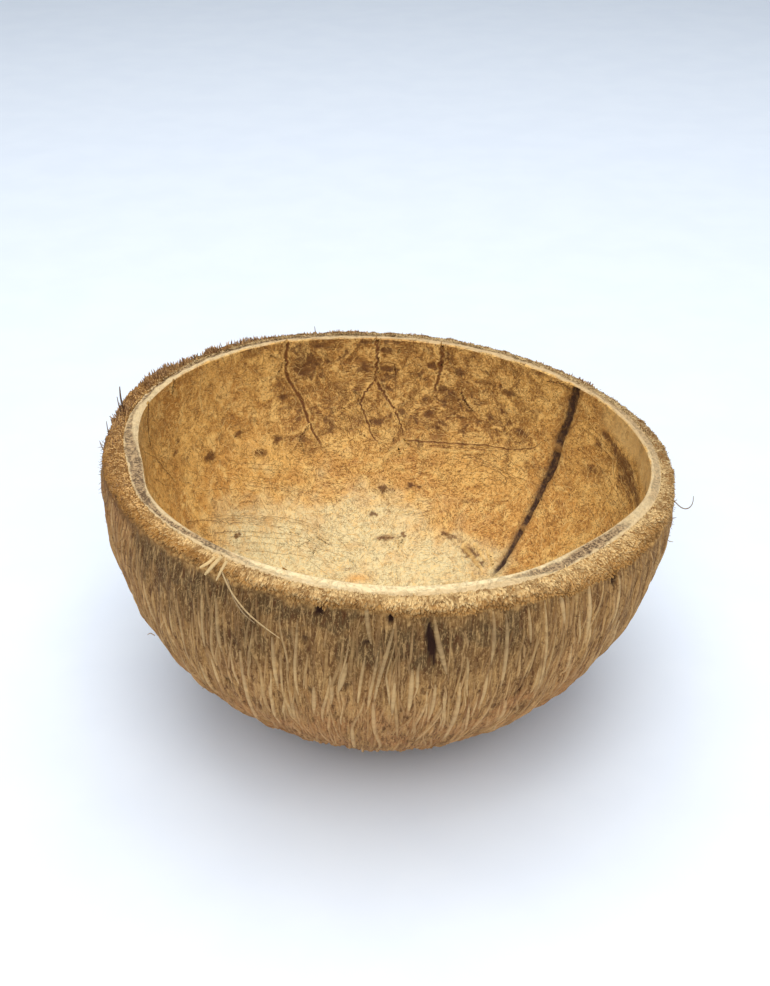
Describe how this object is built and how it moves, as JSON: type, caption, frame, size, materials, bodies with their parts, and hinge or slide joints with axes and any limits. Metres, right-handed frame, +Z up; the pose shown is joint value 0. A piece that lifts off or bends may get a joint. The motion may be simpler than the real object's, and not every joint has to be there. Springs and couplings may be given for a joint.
{
  "type": "coconut half",
  "caption": "Dried, emptied coconut half, cut crosswise: a fibrous husk grown around a hard, hollow shell that stands open side up like a bowl.",
  "frame": {"origin": "middle of the small flat spot underneath, on the surface that the half stands on", "axes": "+Z up through the open mouth, +X level to the right of the picture's view, +Y level and away from it, so the lower side of the cut edge is towards +X"},
  "size_m": [0.1314, 0.1312, 0.072],
  "materials": {
    "husk": "dry matte brown fibre, paler and golden where it is cut at the rim",
    "shell": "smooth, golden tan with brown stains, slightly glossy inside"
  },
  "bodies": {
    "root": {"husk": "husk", "shell": "shell"}
  },
  "joints": []
}
